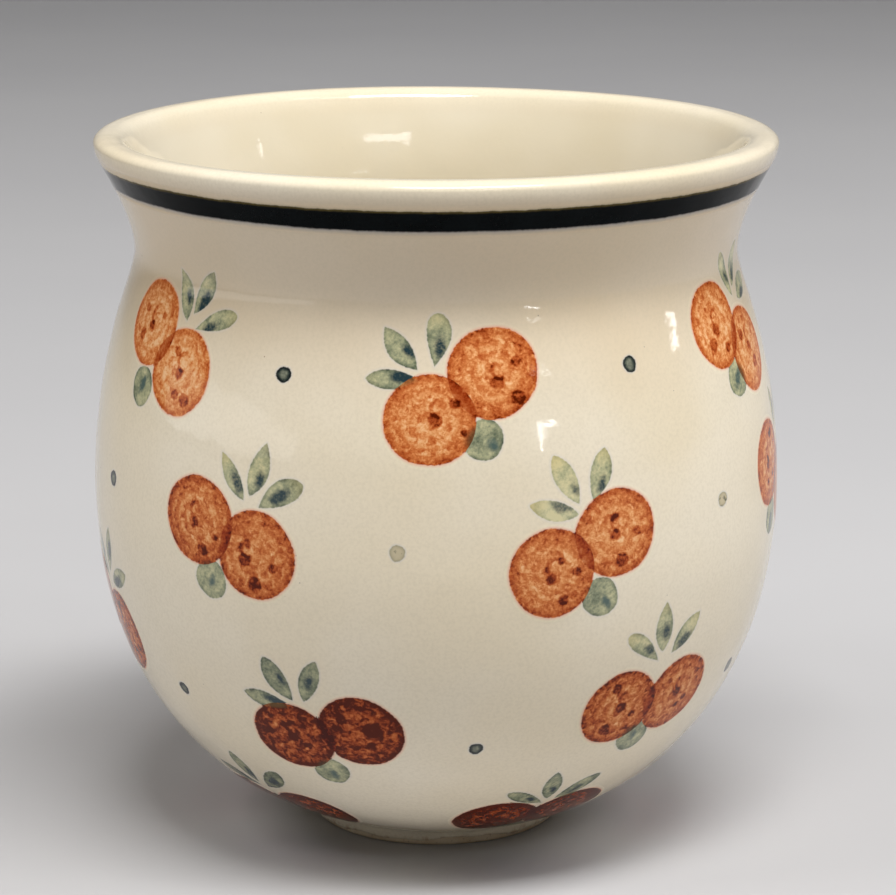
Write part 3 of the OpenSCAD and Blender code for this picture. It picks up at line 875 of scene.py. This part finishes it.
class Prints:
    """Gathers every copy of one mark into a single piece."""

    def __init__(self):
        self.parts = []
        self.attributes = {}
        self.directions = []

    def press(self, azimuth, run, spin, outline, lift, others=(), **values):
        """Lays a print on the wall, with room round it for its halo that stops short of the
        other marks. A value is one number or triple for the whole print, or a function that
        gives one for each flat point."""
        outward = normals(np.vstack([outline[-1:], outline, outline[:1]]))[1:-1]
        room = np.full(len(outline), HALO)
        for other in others:
            room = np.minimum(room, -signed_gap(outline, other))
        room = np.clip(room, 0.02, HALO)[:, None]
        rings = [outline * share for share in (0.15, 0.35, 0.55, 0.72, 0.86, 0.95, 1)]
        rings += [outline + outward * room * share for share in (0.35, 0.7, 1)]
        count = len(outline)
        middle = outline.mean(0)[None]
        flat = np.concatenate([*rings, rings[-1], rings[3], middle, middle])
        lifts = np.concatenate([np.full(count * (len(rings) - 1), lift),
                                np.full(count, SUNK_EDGE), np.full(count * 2, UNDERSIDE),
                                [lift, UNDERSIDE]])
        points, facing = on_wall(azimuth, run, spin, flat, lifts)
        facing[lifts == UNDERSIDE] *= -1
        chain = [points[i * count:(i + 1) * count] for i in range(len(rings) + 2)]
        self.parts.append(loft(chain, points[-2], points[-1]))
        self.directions.append(facing)
        values = {"edge": lambda p: signed_gap(p, outline), **values}
        for label, value in values.items():
            made = value(flat) if callable(value) else np.tile(value, (len(flat), 1)).squeeze()
            self.attributes.setdefault(label, []).append(made)

    def finish(self, name, material, slot, replaced):
        joined = {label: np.concatenate(made) for label, made in self.attributes.items()}
        add_piece(name, self.parts, material, replaced, joined,
                  np.concatenate(self.directions))


def spot_on(spray, place):
    """Azimuth and run of a mark in a spray, whose own frame turns with its tilt."""
    across, up = rotated(place, spray.tilt)
    run = run_at(spray.height) + up
    return spray.azimuth + math.degrees(across / radius_at(run)), run


def berry_values(azimuth, side, draw):
    """Spots and the curl of one berry print."""
    spots = list(SPOTS_SEEN.get((azimuth, side), []))
    if not spots:
        spots = [(draw.uniform(-0.6, 0.6), draw.uniform(-0.8, 0.4), draw.uniform(0.55, 0.7))]
        for turn in (draw.uniform(-1.2, 0.6), draw.uniform(3.6, 5.6), draw.uniform(1.2, 3)):
            reach = draw.uniform(2.6, 3.9)
            spots.append((reach * math.cos(turn), reach * math.sin(turn), draw.uniform(0.3, 0.8)))
    spots += [(9, 9, 0)] * (SPOTS - len(spots))
    facing = draw.uniform(2.2, 3.8)
    curl = (spots[0][0] + 0.5, spots[0][1] + 1.5, facing)
    return {**{f"spot_{i}": spots[i] for i in range(SPOTS)}, "curl": curl}


def numbered(flat, seed):
    """Flat points with a number of their own print, which sets its noise apart."""
    return np.column_stack([flat, np.full(len(flat), seed)])


def spray_marks(spray, draw):
    """The marks of one spray, lowest first: name, place, turn and outline, all before its tilt."""
    shift = spray.shift
    marks = []
    for name, (place, lean) in LEAVES.items():
        slim = 0.85 if name == "left" else 1.0
        outline = leaf_outline(LEAF_L * draw.uniform(0.9, 1.02),
                               LEAF_W * slim * draw.uniform(0.84, 1.06), draw)
        marks.append((name, rotated(place, shift[2]) + shift[:2],
                      lean + shift[2] + draw.uniform(-4, 4), outline))
    drawn = (BUD[0] + draw.uniform(-0.4, 0.4), BUD[1] + draw.uniform(-0.6, 0.2))
    bud_place = np.array(BUDS_SEEN.get(spray.azimuth, drawn))
    marks.append(("bud", bud_place, 0, round_outline(BUD_R, draw, 32, 2.0)))
    marks.append(("right_berry", RIGHT_BERRY, 0, round_outline(BERRY_R, draw)))
    marks.append(("left_berry", LEFT_BERRY, 0, round_outline(BERRY_R, draw)))
    return marks


def berry_print(spray, name, outline, shown, draw):
    """Turn, outline, neighbours and values of a berry print. Berries keep their own spots level,
    so they aren't turned with the spray and their outlines are instead."""
    side = name.split("_")[0]
    other = shown["left_berry" if side == "right" else "right_berry"]

    def over(flat):
        level = rotated(flat, -spray.tilt)
        leaves = [signed_gap(level, shown[leaf]) for leaf in LEAVES]
        return np.stack([signed_gap(level, other), signed_gap(level, shown["bud"]),
                         np.max(leaves, 0)], 1)

    others = [rotated(shape, spray.tilt) for label, shape in shown.items() if label != name]
    values = {"over": over, "strength": spray.berry_strength + draw.uniform(-0.08, 0.08),
              **berry_values(spray.azimuth, side, draw)}
    return 0, rotated(outline, spray.tilt), others, values


def leaf_print(spray, name, turn, outline, shown, draw):
    """Turn, outline, neighbours and values of a leaf or bud print."""
    length = np.ptp(outline[:, 1])
    strength = BUD_STRENGTH if name == "bud" else spray.leaf_strength
    others = [shape for label, shape in shown.items() if label != name]
    values = {"tip": (lambda flat: flat[:, 1] / length + 0.5) if turn else 0.0,
              "strength": strength + draw.uniform(-0.25, 0.2),
              "blotch": (draw.uniform(0.0, 0.7), draw.uniform(-1.5, 0.3), draw.uniform(0.6, 1.2))}
    return spray.tilt + turn, outline, others, values


def press_spray(prints, spray, draw):
    """Lays the marks of one spray on the wall."""
    marks = spray_marks(spray, draw)
    shapes = {name: rotated(outline, turn) + place for name, place, turn, outline in marks}
    for name, place, turn, outline in marks:
        shown = {label: rotated(shape - place, -turn) for label, shape in shapes.items()}
        azimuth, run = spot_on(spray, place)
        seed = draw.uniform(0, 900)
        if name.endswith("berry"):
            spin, outline, others, values = berry_print(spray, name, outline, shown, draw)
        else:
            spin, outline, others, values = leaf_print(spray, name, turn, outline, shown, draw)
        prints[name].press(azimuth, run, spin, outline, LIFTS[name], others,
                           place=lambda flat: numbered(flat, seed), **values)


def make_sprays():
    """The berries, buds and leaves of every spray, each kind of mark as its own piece."""
    draw = random.Random(11)
    prints = {name: Prints() for name in LIFTS}
    for spray in SPRAYS:
        press_spray(prints, spray, draw)
    rust = berry_paint()
    green = leaf_paint("leaf_green", srgb(42, 62, 68))
    for side in ("left", "right"):
        prints[side + "_berry"].finish(f"{side}_berry_prints", rust, "berry_rust",
                                       [f"{side}_berries"])
    for name in LEAVES:
        prints[name].finish(f"{name}_leaf_prints", green, "leaf_green", [f"{name}_leaves"])
    prints["bud"].finish("round_leaf_prints", leaf_paint("bud_green", srgb(84, 102, 96)),
                         "leaf_green", ["round_leaves"])


def make_dots():
    """The dots between the sprays."""
    draw = random.Random(5)
    prints = Prints()
    for azimuth, height in DOTS:
        outline = round_outline(DOT_R * draw.uniform(0.92, 1.08), draw, 24, 3.0)
        seed = draw.uniform(0, 900)
        prints.press(azimuth, run_at(height), 0, outline, DOT_LIFT,
                     place=lambda flat: numbered(flat, seed),
                     strength=-1.2 if (azimuth, height) in PALE_DOTS else draw.uniform(0, 1))
    prints.finish("dot_prints", dot_paint(), "dot_green", ["dots"])


# ---- Stage, lights and camera -------------------------------------------------------------

def make_stage():
    """A pale floor that curves up into a pale backdrop."""
    path = [(-3.0, 0.0), (1.2, 0.0)]
    path += [(1.2 + 0.8 * math.sin(math.radians(a)), 0.8 - 0.8 * math.cos(math.radians(a)))
             for a in range(10, 91, 10)]
    path.append((2.0, 3.0))
    verts = [(x, y, z) for y, z in path for x in (-4, 4)]
    faces = [(2 * i, 2 * i + 1, 2 * i + 3, 2 * i + 2) for i in range(len(path) - 1)]
    mesh = bpy.data.meshes.new("floor")
    mesh.from_pydata(verts, [], faces)
    for polygon in mesh.polygons:
        polygon.use_smooth = True
    g = Graph("pale_floor")
    colour = g.mix(g.noise(g.mm, 0.01, 2), srgb(196, 196, 198), srgb(190, 190, 193))
    mesh.materials.append(g.finish(colour, 0.75, g.bump(g.noise(g.mm, 0.6, 2), 0.02), specular=0.2))
    floor = bpy.data.objects.new("floor", mesh)
    bpy.context.scene.collection.objects.link(floor)


AIM = Vector((0, 0, 0.05))
LAMP_REACH = 1.25
PANE_REACH = 1.4
CAMERA_PLACE = (0, -0.450, 0.1597)
CAMERA_TILT = 76.46
CAMERA_TURN = -0.2
LENS_MM = 136.3

# Bright panes: azimuth, elevation, width and height in metres, and power
GLINTS = [
    (36, 10.3, 0.17, 0.03, 0.28), (33.4, 8.2, 0.03, 0.06, 0.11), (36, 19.6, 0.17, 0.018, 0.07),
    (94, 13, 0.10, 0.025, 0.12), (83, 27, 0.04, 0.1, 0.12), (24, 37, 0.42, 0.1, 0.9),
    (75, 62, 0.5, 0.05, 0.6)]


def add_light(name, azimuth, elevation, reach, size, power, colour=(1, 1, 1), glints=True):
    """A rectangular light that looks at the mug from a direction and a distance in metres, and
    may or may not show in the glaze."""
    lamp = bpy.data.lights.new(name, "AREA")
    lamp.shape = "RECTANGLE"
    lamp.size, lamp.size_y = size
    lamp.energy = power
    lamp.color = colour
    holder = bpy.data.objects.new(name, lamp)
    bpy.context.scene.collection.objects.link(holder)
    turn, rise = math.radians(azimuth), math.radians(elevation)
    away = Vector((math.cos(rise) * math.sin(turn), -math.cos(rise) * math.cos(turn),
                   math.sin(rise)))
    holder.visible_camera = False
    holder.visible_glossy = glints
    holder.location = AIM + reach * away
    holder.rotation_euler = away.to_track_quat("Z", "Y").to_euler()


def make_lights():
    """A broad light overhead, a window high on the right, a soft fill and a low strip of room on
    the left, and the small panes that glint in the glaze."""
    add_light("overhead", 20, 70, LAMP_REACH, (0.72, 0.34), 14.5, (1, 0.985, 0.96))
    add_light("window_right", 85, 44, LAMP_REACH, (0.8, 0.6), 6.2, (1, 0.985, 0.97),
              glints=False)
    add_light("fill_left", -80, 46, LAMP_REACH, (0.6, 0.5), 5.2, (1, 0.97, 0.93),
              glints=False)
    add_light("room_left", -75, 5, PANE_REACH, (1.5, 0.2), 1.1)
    for k, (azimuth, elevation, width, height, power) in enumerate(GLINTS):
        add_light(f"pane_{k}", azimuth, elevation, PANE_REACH, (width, height), power)
    world = bpy.data.worlds.new("soft_room")
    world.use_nodes = True
    world.node_tree.nodes["Background"].inputs[0].default_value = (0.9, 0.93, 1.0, 1)
    world.node_tree.nodes["Background"].inputs[1].default_value = 0.02
    bpy.context.scene.world = world


def make_camera():
    """The main view: a long lens a little above the lip, looking slightly down."""
    lens = bpy.data.cameras.new("camera")
    lens.sensor_width = 36
    lens.lens = LENS_MM
    lens.clip_start = 0.01
    camera = bpy.data.objects.new("camera", lens)
    bpy.context.scene.collection.objects.link(camera)
    camera.location = CAMERA_PLACE
    camera.rotation_euler = (math.radians(CAMERA_TILT), 0, math.radians(CAMERA_TURN))
    bpy.context.scene.camera = camera
    bpy.context.scene.view_settings.view_transform = "Standard"


make_camera()
make_stage()
make_lights()
cup_glaze = cream_glaze()
make_cup(cup_glaze)
make_foot()
make_base(cup_glaze)
make_handle(cup_glaze)
make_band()
make_sprays()
make_dots()
